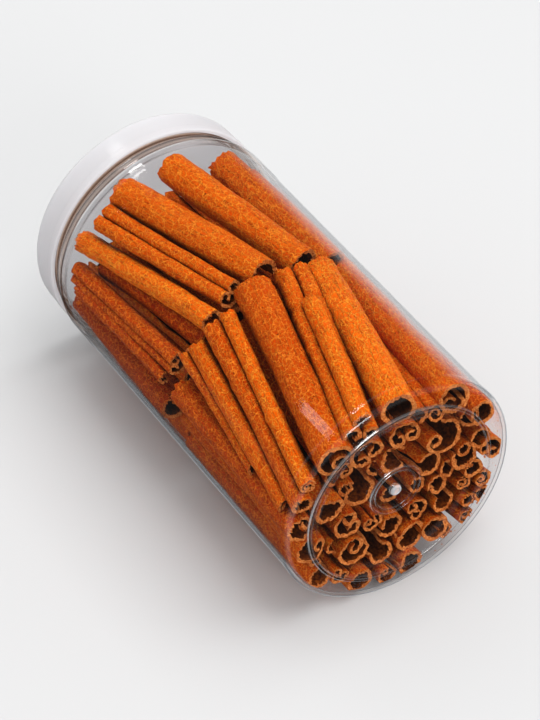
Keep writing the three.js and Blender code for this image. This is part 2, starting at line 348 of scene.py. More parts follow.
# The cross-section of a rolled sheet of bark, as stretches of the sheet one after another: how far each
# one turns in degrees, and the radius of its bend where it starts and where it ends.
ROLLS = {
    "tube": ((235, 1.0, 1.0), (185, 1.0, 0.5)),
    "ring": ((350, 1.0, 1.0),),
    "curl": ((250, 1.0, 1.0), (160, 0.9, 0.5), (250, 0.45, 0.3)),
    "scroll": ((260, 1.0, 1.0), (420, 0.95, 0.28)),
    "double": ((290, 0.3, 0.46), (50, 0.7, 1.0), (130, 1.0, 1.0), (50, 1.0, 0.7), (290, 0.46, 0.3)),
    "open": ((265, 1.0, 1.0),),
    "hook": ((300, 0.26, 0.4), (40, 0.6, 1.0), (240, 1.0, 1.0)),
    "torn": ((60, 0.5, 1.0), (110, 1.0, 1.3), (70, 1.0, 0.5)),
}
THIN_ROLLS = ("double", "curl", "hook", "scroll")

# Bark this thick at least, thicker with the quill's diameter, up to a most.
LEAST_BARK = 0.65
BARK_PER_DIAMETER = 0.07
MOST_BARK = 1.5


class Quill:
    """One rolled stick of bark, from its foot to its head, each a point (height, y, z). Its back faces
    an angle in degrees, its colour runs from dark red 0 to light tan 1, partly its own and partly
    painted shade where a quill lies deep in shadow, and its knots are shares of its length."""

    def __init__(self, roll, diameter, foot, head, facing, tone, knots=(), torn=0.0):
        self.roll = roll
        self.diameter = diameter
        self.foot = np.array(foot, float)
        self.head = np.array(head, float)
        self.facing = facing
        self.tone = tone
        self.knots = knots
        self.torn = torn


def rolled_line(roll, samples, rng):
    """The middle line of a rolled sheet: points one unit across in all, and the heading at each point.
    The back of the roll, opposite its opening, points along the first axis."""
    stretches = [
        (turn * rng.uniform(0.95, 1.05), start * rng.uniform(0.93, 1.07), end * rng.uniform(0.93, 1.07))
        for turn, start, end in ROLLS[roll]
    ]
    lengths = [turn * (start + end) for turn, start, end in stretches]
    back = lengths.index(max(lengths))
    steps_per_stretch = 60
    headings, points, travelled = [0.0], [np.zeros(2)], [0.0]
    middle = None
    for number, (turn, start, end) in enumerate(stretches):
        for step in range(steps_per_stretch):
            bend = start + (end - start) * (step + 0.5) / steps_per_stretch
            part = math.radians(turn) / steps_per_stretch
            heading = headings[-1] + part / 2
            points.append(points[-1] + bend * part * np.array([math.cos(heading), math.sin(heading)]))
            headings.append(headings[-1] + part)
            travelled.append(travelled[-1] + bend * part)
            if number == back and step == steps_per_stretch // 2:
                middle = points[-1]
    points, headings, travelled = np.array(points), np.array(headings), np.array(travelled)
    pace = travelled / travelled[-1] + headings / headings[-1]
    at = np.linspace(0, pace[-1], samples)
    low, high = points.min(0), points.max(0)
    centre, width = (low + high) / 2, (high - low).max()
    line = np.stack([np.interp(at, pace, points[:, axis]) for axis in (0, 1)], axis=-1)
    towards_back = math.atan2(*(middle - centre)[::-1])
    c, s = math.cos(towards_back), math.sin(towards_back)
    line = (line - centre) / width @ np.array([[c, -s], [s, c]])
    heading = np.interp(at, pace, headings) - towards_back
    if rng.random() < 0.5:
        line = line[::-1] * (1, -1)
        heading = math.pi - heading[::-1]
    return line, heading


def waves(rng, x, y, wavelengths, along=1.0):
    """Gentle unevenness from about -1 to 1, as waves in all directions, drawn out in y by `along`."""
    total = np.zeros(np.broadcast(x, y).shape)
    for wavelength in wavelengths:
        angle, phase = rng.uniform(0, 2 * math.pi, 2)
        across = x * math.cos(angle) + y * math.sin(angle) / along
        total += np.sin(2 * math.pi * across / wavelength + phase)
    return total / math.sqrt(len(wavelengths))


def kept_inside(points):
    """World points in millimetres, those that would pierce the jar's wall or base moved just inside."""
    height, y, z = BASE_X - points[:, 0], points[:, 1], points[:, 2] - AXIS_Z
    radius = np.hypot(y, z)
    scale = np.minimum(1, (reach(height) - SKIN_GAP) / np.maximum(radius, 1e-9))
    height = np.maximum(height, floor_height(radius * scale) + SKIN_GAP)
    return np.stack([BASE_X - height, y * scale, z * scale + AXIS_Z], axis=-1)


def bark_thickness(quill):
    thickness = min(BARK_PER_DIAMETER * quill.diameter + LEAST_BARK, MOST_BARK)
    return thickness * (0.85 if quill.roll in THIN_ROLLS else 1.0)


def wandering_sheet(rng, quill, line, heading, along):
    """Where each point of the sheet lies in the roll, its heading, and its distance round the sheet, for
    each place along the quill. The sheet's free edges wander, and more so where the bark is torn."""
    samples = len(line)
    steps = np.linalg.norm(np.diff(line, axis=0), axis=1)
    sheet = np.concatenate([[0], np.cumsum(steps)]) * quill.diameter
    wander = 0.012 + 0.05 * quill.torn
    first = wander * (1 + waves(rng, along, 0, (60, 23, 11, 5.3, 3.1)))
    last = 1 - wander * (1 + waves(rng, along, 0, (50, 26, 12, 5.9, 2.7)))
    place = first[:, None] + (last - first)[:, None] * np.linspace(0, 1, samples)
    place = np.clip(place, 0, 1) * (samples - 1)
    pick = np.arange(samples)
    return [np.interp(place, pick, values) for values in (line[:, 0], line[:, 1], heading, sheet)]


def knot_swelling(quill, along, around, length):
    """Ring-like knots: a sharp ridge with a shallow hollow beside it."""
    swell = np.zeros_like(around)
    for knot in quill.knots:
        offset = along[:, None] - knot * length + 0.7 * np.sin(around / 3.0)
        swell += 0.55 * np.exp(-np.abs(offset) / 0.9) - 0.15 * np.exp(-(offset - 2.0) ** 2 / 2)
    return swell


def ragged_end(rng, around, amount, distance):
    """How far the bark stands out or falls short at one end, which fades with the distance from it."""
    rough = waves(rng, around[0], 0, (21, 9, 4.3, 2.1)) * amount
    rough += amount * 0.35 * rng.standard_normal(len(around[0]))
    return rough * np.exp(-distance / 2.5)


def bark_faces(rng, quill, along, around, lengthwise, length):
    """The roll's size along the quill, and how far the bark's outside and inside lie off its middle
    line, with flutes along the quill, dents, knots, an uneven thickness and a crumbly inside."""
    thickness = bark_thickness(quill)
    size = quill.diameter * (1 + 0.022 * waves(rng, along, 0, (95, 47, 23))[:, None]) - thickness
    flutes = 0.10 * waves(rng, around, lengthwise, (5, 7, 9, 12), along=14)
    dents = 0.10 * waves(rng, around, lengthwise, (8, 10, 14, 18, 22), along=1.6)
    lift = (flutes + dents) * quill.diameter / 10 + knot_swelling(quill, along, around, length)
    wall = thickness * (1 + 0.12 * waves(rng, around, lengthwise, (2.2, 3.1, 4.7, 7)))
    crumbly = 0.07 * rng.standard_normal(around.shape)
    return size, lift + wall / 2, lift - wall / 2 + crumbly


def sheet_faces(samples, rings):
    """The faces of a closed sheet: its outside, its inside and its cut edges."""
    u, v = np.meshgrid(np.arange(samples - 1), np.arange(rings - 1))
    corner = (v * samples + u).ravel()
    inner_from = samples * rings
    outer_faces = np.stack([corner, corner + samples, corner + samples + 1, corner + 1], axis=-1)
    inner_faces = inner_from + outer_faces[:, ::-1]
    step = np.arange(samples - 1)
    rise = np.arange(rings - 1) * samples
    top = (rings - 1) * samples + step
    end = rise + samples - 1
    cut_faces = np.concatenate([
        np.stack([step, step + 1, inner_from + step + 1, inner_from + step], axis=-1),
        np.stack([top + 1, top, inner_from + top, inner_from + top + 1], axis=-1),
        np.stack([rise + samples, rise, inner_from + rise, inner_from + rise + samples], axis=-1),
        np.stack([end, end + samples, inner_from + end + samples, inner_from + end], axis=-1),
    ])
    return outer_faces, inner_faces, cut_faces


def quill_mesh(quill, seed, samples, rings):
    """Points, faces by kind, and grain coordinates of one quill's closed sheet."""
    rng = np.random.default_rng(seed)
    line, heading = rolled_line(quill.roll, samples, rng)
    foot, head = (to_world(*end) / MM for end in (quill.foot, quill.head))
    length = np.linalg.norm(head - foot)
    way = (head - foot) / length

    # Rings of points are closer together near both ends.
    share = np.linspace(0, 1, rings)
    share = share - 0.12 * np.sin(2 * math.pi * share)
    along = share * length
    section_a, section_b, turned, around = wandering_sheet(rng, quill, line, heading, along)

    lengthwise = np.broadcast_to(along[:, None], around.shape)
    size, outer, inner = bark_faces(rng, quill, along, around, lengthwise, length)
    slide = ragged_end(rng, around, 0.2 + 0.5 * quill.torn, lengthwise)
    slide += ragged_end(rng, around, 0.5 + 0.6 * quill.torn, length - lengthwise)

    # The quill twists and bows a little. Chips are missing from the inner edge of its foot.
    twist = math.radians(quill.facing) + math.radians(6) * waves(rng, along, 0, (160, 90))[:, None]
    across = np.array([0, 1, 0]) - way * way[1]
    across /= np.linalg.norm(across)
    upright = np.cross(across, way)
    bow_way = rng.uniform(0, 2 * math.pi)
    bow_line = across * math.cos(bow_way) + upright * math.sin(bow_way)
    bow = 0.35 * np.sin(math.pi * share)[:, None, None] * bow_line
    chips = 0.35 * np.abs(rng.standard_normal(samples)) * np.exp(-lengthwise / 0.7)

    sides = []
    for rise, chip in ((outer, 0), (inner, chips)):
        a = section_a * size + rise * np.sin(turned)
        b = section_b * size - rise * np.cos(turned)
        y_part = a * np.cos(twist) - b * np.sin(twist)
        z_part = a * np.sin(twist) + b * np.cos(twist)
        sides.append(
            foot + way * (lengthwise + slide + chip)[..., None] + across * y_part[..., None]
            + upright * z_part[..., None] + bow
        )
    points = kept_inside(np.concatenate([side.reshape(-1, 3) for side in sides])) * MM
    grain = np.stack([around, lengthwise, np.full_like(around, 40.0 * seed)], axis=-1).reshape(-1, 3)
    return points, sheet_faces(samples, rings), np.concatenate([grain, grain])


def quill_piece(name, quills, seed, samples, rings, materials):
    """All the quills of one kind as one mesh. Its materials are the bark's outside, inside and cut edge."""
    points, faces, kinds, grains, tones_and_shades = [], [], [], [], []
    offset = 0
    for number, quill in enumerate(quills):
        some_points, some_faces, some_grain = quill_mesh(quill, seed + number, samples, rings)
        points.append(some_points)
        grains.append(some_grain)
        tones_and_shades.append(np.full(len(some_points), quill.tone))
        for kind, group in enumerate(some_faces):
            faces.append(group + offset)
            kinds.append(np.full(len(group), kind))
        offset += len(some_points)
    kinds = np.concatenate(kinds)
    piece = add_mesh(name, np.concatenate(points), faces, materials, kinds, sharp_angle=48.0)
    add_point_values(piece, "grain", np.concatenate(grains))
    add_point_values(piece, "tone", np.concatenate(tones_and_shades))
    return piece


# ------------------------------ where the quills lie

def reach(height):
    """The jar's inside radius at a height."""
    inside = (INSIDE_RADIUS, COLLAR_RADIUS - WALL, NECK_RADIUS - NECK_WALL)
    return np.interp(height, (142.5, 145.5, 149.6), inside)


def floor_height(radius):
    """How high the inside of the base is, at a radius."""
    radii = (DISC_RADIUS, PUSH_UP_RADIUS - 2, PUSH_UP_RADIUS, FOOT_RING_RADIUS, 39.5, 41.7)
    return np.interp(radius, radii, (4.7, 3.3, 2.3, 1.1, 1.5, 3.6))


def wall_point(diameter, angle, height, inset):
    radius = reach(height) - 0.5 - diameter / 2 - inset
    return (height, radius * math.cos(math.radians(angle)), radius * math.sin(math.radians(angle)))


# Quills on the wall of the tier at the base: roll, diameter, angle and height of the foot, angle and
# height of the head, which way the back faces from straight outward, colour from dark red 0 to light
# tan 1, which is partly painted shade, inset from the wall.
# Angles run round the axis from +Y (0) over the top (90) to -Y (180).
BASE_WALL = {
    "a": ("tube", 11.0, 52, 4, 33, 80, 20, 0.60, 0),
    "b": ("ring", 12.5, 90, 3, 61, 75, 0, 1.0, 0),
    "c": ("double", 12.0, 115, 2, 78, 76.5, 180, 0.62, 1.0),
    "c2": ("open", 6.5, 109.5, 4, 86, 58, 25, 0.90, 0),
    "d": ("curl", 13.0, 132, 2, 103, 76, 0, 0.40, 0),
    "e": ("scroll", 5.6, 150, 3, 122, 71.5, 0, 0.75, 0),
    "f": ("tube", 7.2, 161, 2.5, 131.5, 73, 0, 0.38, 0),
    "g": ("scroll", 7.2, 168, 9, 144, 73.5, 0, 0.62, 0),
    "g2": ("open", 4.5, 168, 28, 152, 76, 0, 0.5, 0.6),
    "h": ("hook", 10.0, 177, 2.5, 174, 74.5, 30, 0.22, 0),
}

# The same for the tier at the lid.
LID_WALL = {
    "A": ("tube", 11.5, 35, 86, 56, 141, 0, 0.62, 0),
    "B": ("tube", 11.7, 68, 79, 89, 142, 0, 0.72, 0),
    "C": ("open", 12.3, 93.5, 79, 119, 145, 0, 0.66, 0),
    "D": ("double", 10.0, 114, 78.6, 136, 142, 180, 0.62, 0),
    "E": ("open", 8.0, 130, 75, 155, 146, -40, 0.95, 0),
    # F's dark red is painted shade: it lies deep in the shadow of E.
    "F": ("tube", 9.0, 142.5, 77, 163, 137, 0, 0.0, 7.5),
    "G": ("double", 8.0, 161, 79, 172, 143, 180, 0.25, 0),
    "G2": ("open", 5.0, 172, 82, 177, 137, 0, 0.20, 0),
    "H": ("tube", 9.0, 196, 82, 199, 146, 0, 0.15, 0),
}

# Where along its length a quill has knots, and how torn its bark is from 0 to 1.
KNOTS = {"f": (0.69, 0.55, 0.46), "e": (0.4,)}
TORN = {"c": 0.6, "c2": 1.0, "h": 0.7, "E": 0.6, "G2": 1.0, "g2": 0.8, "C": 0.3}
LITTLE_TORN = 0.15
INNER_TORN = 0.3

# Feet of the quills inside the tier at the base: roll, diameter, y, z, height, and where the back faces,
# in degrees from +Y to +Z.
BASE_FEET = (
    ("ring", 7.6, 29.3, 15.6, 5, 0), ("ring", 9.5, 32.5, 17.8, 2.5, 30),
    ("double", 10.8, 4.1, 20.3, 5, 100), ("ring", 7.6, 9.3, 25.0, 6, 90),
    ("scroll", 7.0, 15.6, 24.4, 5, 60), ("hook", 13.9, 19.4, 12.3, 4.2, -15),
    ("ring", 8.2, 33.4, 5.0, 4, 0), ("double", 8.9, 37.0, -0.9, 3, 40),
    ("ring", 5.7, 27.3, 2.8, 4.2, 0), ("open", 10.8, 27.8, -0.7, 4.6, -90),
    ("tube", 7.6, 31.0, -7.8, 4, 0), ("ring", 9.5, 14.4, 2.4, 5.2, 0),
    ("open", 10.8, 1.0, 11.0, 5.4, 180), ("double", 12.0, -10.2, 19.4, 5, 120),
    ("hook", 10.1, -18.2, 11.5, 9, 150), ("open", 11.4, -10.5, 0.5, 8, -90),
    ("tube", 10.8, -23.7, 1.7, 5, 200), ("double", 9.5, 10.2, -16.4, 5.2, 20),
    ("tube", 8.2, 17.7, -8.9, 5, 100), ("ring", 6.3, 10.1, -5.3, 5.4, 0),
    ("tube", 7.6, 21.9, -3.6, 5, 90), ("scroll", 5.7, 27.6, -12.4, 4, 0),
    ("curl", 6.3, 34.7, -13.3, 3, 0), ("ring", 6.3, 34.2, -19.6, 2.6, -30),
    ("open", 8.2, 20.1, -17.6, 4.6, -100), ("tube", 5.7, 29.2, -20.4, 3, -40),
    ("scroll", 6.3, 28.4, -27.2, 2.5, -40), ("ring", 5.7, 21.6, -31.8, 4.5, -60),
    ("tube", 10.8, 17.0, -27.4, 3.5, -60), ("tube", 12.0, 7.4, -26.2, 4, -80),
    ("tube", 9.5, -0.2, -18.2, 5, -70), ("double", 7.6, -7.0, -12.5, 5, -90),
    ("double", 11.4, -16.3, -8.8, 5, 200), ("curl", 12.0, -14.5, -20.9, 3.6, -120),
    ("open", 8.9, -3.9, -28.3, 4.4, -60), ("tube", 9.8, 6.4, -36.2, 2, -80),
    ("hook", 7.5, -3.0, -37.4, 1.8, -90), ("tube", 9.6, -13.0, -34.8, 2.5, -110),
    ("double", 7.0, -20.0, -29.6, 4, -130), ("open", 10.8, -27.8, -25.0, 3.5, -140),
    ("torn", 5.7, -22.6, -15.6, 4.5, 200), ("torn", 6.3, -29.1, -17.4, 4, 210),
    ("ring", 6.3, 21.6, 23.6, 6, 60), ("ring", 7.6, 1.2, -6.2, 8, -60),
    ("ring", 7.6, -3.4, 7.2, 9, 120), ("ring", 6.3, -15.6, 4.8, 8, 160),
    ("hook", 11.5, -32.6, -8.6, 1.8, 190),
)


def settled(circles, pinned, limit, rounds=260):
    """Circles (y, z, radius) pushed apart and kept inside a circle. Pinned ones stay where they are."""
    circles = np.array(circles, float)
    for _ in range(rounds):
        gap = circles[:, None, :2] - circles[None, :, :2]
        distance = np.linalg.norm(gap, axis=-1) + 1e-9
        overlap = np.clip(circles[:, None, 2] + circles[None, :, 2] - distance, 0, None)
        np.fill_diagonal(overlap, 0)
        share = np.where(pinned[None, :], 0.9, 0.45)
        push = (gap / distance[..., None] * (overlap * share)[..., None]).sum(1)
        circles[~pinned, :2] += push[~pinned]
        radius = np.linalg.norm(circles[:, :2], axis=1)
        reachable = limit - circles[:, 2]
        scale = np.where(~pinned & (radius > reachable), reachable / np.maximum(radius, 1e-9), 1.0)
        circles[:, :2] *= scale[:, None]
    return circles[:, :2]


def settle(on_wall, rest, end, limit):
    """Moves one end of the inner quills, "foot" or "head", so that they fit between those on the wall."""
    every = on_wall + rest
    pinned = np.arange(len(every)) < len(on_wall)
    circles = [(*getattr(quill, end)[1:], 0.49 * quill.diameter) for quill in every]
    for quill, place in zip(rest, settled(circles, pinned, limit)[len(on_wall):]):
        getattr(quill, end)[1:] = place


def lean(angle):
    """How far round the axis a quill inside the bundle leans from its foot to its head, in degrees."""
    return 17 + 10 * math.cos(math.radians(angle - 100))


def turned_about_axis(y, z, degrees):
    c, s = math.cos(math.radians(degrees)), math.sin(math.radians(degrees))
    return y * c - z * s, y * s + z * c


def wall_quills(table):
    quills = []
    for key, (roll, diameter, foot_angle, foot, head_angle, head, facing, tone, inset) in table.items():
        middle = (foot_angle + head_angle) / 2
        quills.append(Quill(
            roll, diameter, wall_point(diameter, foot_angle, foot, inset),
            wall_point(diameter, head_angle, head, inset), middle + facing, tone,
            knots=KNOTS.get(key, ()), torn=TORN.get(key, LITTLE_TORN),
        ))
    return quills


def base_tier():
    """The quills on the wall that show from outside, and the rest, whose heads settle between them."""
    rng = np.random.default_rng(11)
    on_wall = wall_quills(BASE_WALL)
    rest = []
    for roll, diameter, y, z, height, facing in BASE_FEET:
        height = max(height, floor_height(math.hypot(y, z)) + 0.5)
        angle = math.degrees(math.atan2(z, y))
        head_y, head_z = turned_about_axis(y, z, -lean(angle))
        rest.append(Quill(
            roll, diameter, (height, y, z), (rng.uniform(72.5, 77), head_y, head_z), facing,
            tone=rng.uniform(0.2, 0.7), torn=INNER_TORN,
        ))
    settle(on_wall, rest, "head", INSIDE_RADIUS - 0.5)
    return on_wall, rest


def hidden_lid_quills(rng):
    """The lid tier's quills on the wall round the side that the photo doesn't show."""
    hidden = {}
    angle = 213.0
    while angle < 378:
        diameter = rng.uniform(7.5, 11.5)
        roll = ("tube", "double", "ring", "curl", "tube")[rng.integers(5)]
        across = math.degrees(diameter / (INSIDE_RADIUS - diameter / 2))
        angle += across / 2
        hidden[f"{angle:.0f}"] = (
            roll, diameter, angle, rng.uniform(79, 82), angle + rng.uniform(1, 5), rng.uniform(140, 146),
            rng.uniform(-20, 20) + (180 if roll == "double" and rng.random() < 0.5 else 0),
            rng.uniform(0.2, 0.8), 0,
        )
        angle += across / 2 + 0.4
    return wall_quills(hidden)


def lid_tier(base_rest):
    """The tier at the lid: its quills on the wall go on round the hidden side, and the rest reuse the
    layout of the tier at the base, turned round."""
    rng = np.random.default_rng(23)
    on_wall = wall_quills(LID_WALL) + hidden_lid_quills(rng)
    rest = []
    for quill in base_rest:
        y, z = turned_about_axis(*quill.foot[1:], 150)
        if math.hypot(y, z) + quill.diameter / 2 > 33:
            continue
        rest.append(Quill(
            quill.roll, quill.diameter, (rng.uniform(79.5, 83), y, z), (rng.uniform(141, 149), y, z),
            rng.uniform(0, 360), tone=rng.uniform(0.2, 0.7), torn=INNER_TORN,
        ))
    settle(on_wall, rest, "foot", INSIDE_RADIUS - 0.5)
    for quill in rest:
        quill.head[1:] = turned_about_axis(*quill.foot[1:], 18)
    settle(on_wall, rest, "head", reach(150) - 0.5)
    return on_wall, rest


# ------------------------------ crumbs

def crumb_shape():
    """Points and faces of a small ball with two poles and two rings of five points."""
    turn = np.arange(5) * 2 * math.pi / 5
    rings = [(math.cos(a) * 0.9, math.sin(a) * 0.9, z) for z in (0.45, -0.45) for a in turn + z]
    upper, lower = np.arange(5) + 2, np.arange(5) + 7
    following = np.roll(np.arange(5), -1)
    faces = np.concatenate([
        np.stack([np.zeros(5, int), upper, upper[following]], axis=-1),
        np.stack([upper, lower, upper[following]], axis=-1),
        np.stack([upper[following], lower, lower[following]], axis=-1),
        np.stack([np.ones(5, int), lower[following], lower], axis=-1),
    ])
    return np.array([(0, 0, 1), (0, 0, -1)] + rings), faces


def crumb_piece(name, count, seed, material):
    """Crumbs of bark on the inside of the jar's wall, mostly low down beside the ends of the quills."""
    rng = np.random.default_rng(seed)
    ball, shape = crumb_shape()
    points, faces = [], []
    for number in range(count):
        size = rng.uniform(0.12, 0.42)
        angle = math.radians(rng.uniform(-105, 20))
        height = rng.choice([rng.uniform(2.5, 9), rng.uniform(3, 20), rng.uniform(70, 82)])
        radius = INSIDE_RADIUS - size * 0.8
        corners = ball * rng.uniform(0.6, 1.3, ball.shape) * size * rng.uniform(0.7, 1.2, 3)
        points.append(to_world(
            height + corners[:, 0],
            radius * math.cos(angle) + corners[:, 1],
            radius * math.sin(angle) + corners[:, 2],
        ))
        faces.append(shape + number * len(ball))
    return add_mesh(name, np.concatenate(points), faces, [material], sharp_angle=30.0)


# ------------------------------ materials

class Nodes:
    """A node tree, built with short calls."""

    def __init__(self, tree):
        self.tree = tree

    def node(self, kind, inputs=None, **settings):
        node = self.tree.nodes.new("ShaderNode" + kind)
        for key, value in settings.items():
            setattr(node, key, value)
        for key, value in (inputs or {}).items():
            self.put(node.inputs[key], value)
        return node

    def put(self, socket, value):
        if isinstance(value, bpy.types.NodeSocket):
            self.tree.links.new(value, socket)
        else:
            socket.default_value = value

    def math(self, operation, *values, clamp=False):
        node = self.node("Math", dict(enumerate(values)), operation=operation, use_clamp=clamp)
        return node.outputs[0]

    def mix(self, amount, low, high):
        node = self.node("Mix", data_type="RGBA")
        for name, value in (("Factor", amount), ("A", low), ("B", high)):
            socket = next(s for s in node.inputs if s.name == name and s.enabled)
            self.put(socket, value)
        return next(s for s in node.outputs if s.enabled)

    def span(self, value, low, high, to_low=0.0, to_high=1.0):
        node = self.node("MapRange", {
            "Value": value, "From Min": low, "From Max": high, "To Min": to_low, "To Max": to_high,
        })
        return node.outputs["Result"]

    def noise(self, vector, scale, detail):
        return self.node("TexNoise", {"Vector": vector, "Scale": scale, "Detail": detail}).outputs["Fac"]

    def scaled(self, vector, factors):
        return self.node("VectorMath", {0: vector, 1: factors}, operation="MULTIPLY").outputs[0]

    def bump(self, height, strength, distance):
        settings = {"Height": height, "Strength": strength, "Distance": distance}
        return self.node("Bump", settings).outputs[0]


class Shader(Nodes):
    """A material's node tree."""

    def __init__(self, name):
        self.material = bpy.data.materials.new(name)
        self.material.use_nodes = True
        super().__init__(self.material.node_tree)
        self.tree.nodes.clear()
        self.output = self.tree.nodes.new("ShaderNodeOutputMaterial")

    def crevice_shade(self, distance):
        """A painted-shade mask: from 0 deep between and inside the quills to 1 where the surface lies open.
        """
        hidden = self.node("AmbientOcclusion", {"Distance": distance}, samples=4, only_local=True)
        return self.span(hidden.outputs["AO"], 0.1, 0.75)

    def lines(self, vector, scale, width):
        """From 1 on the borders of cells as small as the scale makes them to 0 away from them."""
        cells = self.node("TexVoronoi", {"Vector": vector, "Scale": scale, "Randomness": 1.0},
                          feature="DISTANCE_TO_EDGE")
        return self.span(cells.outputs["Distance"], 0.0, width, 1.0, 0.0)

    def blend(self, share, first, second):
        return self.node("MixShader", {0: share, 1: first.outputs[0], 2: second.outputs[0]})

    def finish(self, shader):
        self.tree.links.new(shader.outputs[0], self.output.inputs["Surface"])
        return self.material


def colour(hex_code):
    """A linear colour from an sRGB one such as "c8550a"."""
    parts = [int(hex_code[i:i + 2], 16) / 255 for i in (0, 2, 4)]
    return (*[p / 12.92 if p <= 0.04045 else ((p + 0.055) / 1.055) ** 2.4 for p in parts], 1.0)


# The colour that painted shade darkens the bark towards, deep between and inside the quills.
DEEP_SHADE = colour("1c0800")
BARK_SHINE = (0.9, 0.3, 0.05, 1.0)


def bark_outside():
    """Smooth scraped bark: an orange-brown ground, a net of paler short curved fibres, dark pinpoints,
    and painted shade deep between and inside the quills.
    The grain runs in millimetres: round the sheet, along the quill, and apart from quill to quill."""
    s = Shader("bark_outside")
    grain = s.node("Attribute", attribute_name="grain").outputs["Vector"]
    tone = s.node("Attribute", attribute_name="tone").outputs["Fac"]
    wobble = s.node("TexNoise", {"Vector": grain, "Scale": 0.5, "Detail": 3.0}).outputs["Color"]
    bent = s.node("VectorMath", {0: wobble, 1: (0.5, 0.5, 0.5)}, operation="SUBTRACT").outputs[0]
    bent = s.node("VectorMath", {0: bent, "Scale": 2.6}, operation="SCALE").outputs[0]
    bent = s.node("VectorMath", {0: grain, 1: bent}, operation="ADD").outputs[0]
    drawn = s.scaled(bent, (1.0, 0.62, 1.0))

    fibres = s.lines(drawn, 0.62, 0.1)
    fine = s.lines(drawn, 1.25, 0.12)
    net = s.math("ADD", fibres, s.math("MULTIPLY", fine, 0.45))
    streak = s.noise(s.scaled(grain, (1.5, 0.16, 1.0)), 1.0, 4.0)
    patch = s.span(s.noise(grain, 0.2, 3.0), 0.35, 0.65)
    grit = s.noise(grain, 2.2, 3.0)
    spots = s.node("TexVoronoi", {"Vector": grain, "Scale": 0.33}).outputs["Distance"]
    spots = s.span(spots, 0.04, 0.1, 1.0, 0.0)

    # From dark red to light tan by the quill's colour; its darkest end is partly painted shade.
    ground = s.mix(tone, colour("8e1800"), colour("fa6600"))
    ground = s.mix(s.math("MULTIPLY", patch, 0.5), ground, colour("c43a00"))
    ground = s.mix(s.span(streak, 0.5, 0.68, 0.0, 0.7), ground, colour("741e00"))
    ground = s.mix(s.span(grit, 0.48, 0.66, 0.0, 0.4), ground, colour("8a2a00"))
    net_colour = s.mix(tone, colour("ea6e1c"), colour("ff9c2c"))
    shown = s.math("MULTIPLY", net, s.span(grit, 0.28, 0.5), clamp=True)
    ground = s.mix(shown, ground, net_colour)
    ground = s.mix(s.math("MULTIPLY", spots, 0.85), ground, colour("240c02"))
    # Painted shade deep between and inside the quills.
    ground = s.mix(s.crevice_shade(0.007), DEEP_SHADE, ground)

    height = s.math("ADD", s.math("MULTIPLY", net, 0.6), s.math("MULTIPLY", grit, 0.5))
    height = s.math("ADD", height, s.math("MULTIPLY", streak, 0.6))
    height = s.math("SUBTRACT", height, s.math("MULTIPLY", spots, 0.7))
    return s.finish(s.node("BsdfPrincipled", {
        "Base Color": ground, "Roughness": 0.5, "Specular IOR Level": 0.08,
        "Specular Tint": BARK_SHINE, "Normal": s.bump(height, 1.0, 0.00045),
    }))


def rough_bark(s, ground, bump):
    return s.finish(s.node("BsdfPrincipled", {
        "Base Color": ground, "Roughness": 0.8, "Specular IOR Level": 0.1,
        "Specular Tint": BARK_SHINE, "Normal": bump,
    }))


def bark_inside():
    """The hollow side of the bark, fibrous and darker: partly its own colour, partly painted shade for
    the hollows, with more painted shade deep inside them.
    """
    s = Shader("bark_inside")
    place = s.node("TexCoord").outputs["Object"]
    noise = s.noise(place, 900.0, 4.0)
    wide = s.noise(place, 180.0, 2.0)
    ground = s.mix(s.span(noise, 0.35, 0.65), colour("481802"), colour("9a4a10"))
    ground = s.mix(s.span(wide, 0.4, 0.65, 0, 0.6), ground, colour("3c1606"))
    # Painted shade deep in the hollows.
    ground = s.mix(s.crevice_shade(0.012), DEEP_SHADE, ground)
    return rough_bark(s, ground, s.bump(noise, 0.8, 0.0002))


def bark_edge():
    """Cut and torn edges, and crumbs: pale tan, porous and crumbly."""
    s = Shader("bark_edge")
    place = s.node("TexCoord").outputs["Object"]
    noise = s.noise(place, 1600.0, 4.0)
    wide = s.noise(place, 260.0, 2.0)
    ground = s.mix(s.span(noise, 0.35, 0.62), colour("9e4814"), colour("e08a48"))
    ground = s.mix(s.span(wide, 0.45, 0.7, 0, 0.5), ground, colour("8a3c0e"))
    return rough_bark(s, ground, s.bump(noise, 1.0, 0.0002))


CLEAR = (0.985, 0.985, 0.985, 1.0)
# Painted shade on the outline, where the wall turns away.
PAINTED_RIM_GREY = (0.66, 0.68, 0.71, 1.0)
# Painted grey lines on the beads and rings, in place of the lines their refraction makes.
PAINTED_LENS_GREY = (0.78, 0.8, 0.82, 1.0)
# Painted refraction of the bark seen through the neck, in pale and dark rings.
PAINTED_PALE_BRONZE = (0.76, 0.59, 0.48, 1.0)
PAINTED_DARK_BRONZE = (0.26, 0.14, 0.08, 1.0)
MILKY = (0.75, 0.77, 0.8, 1.0)


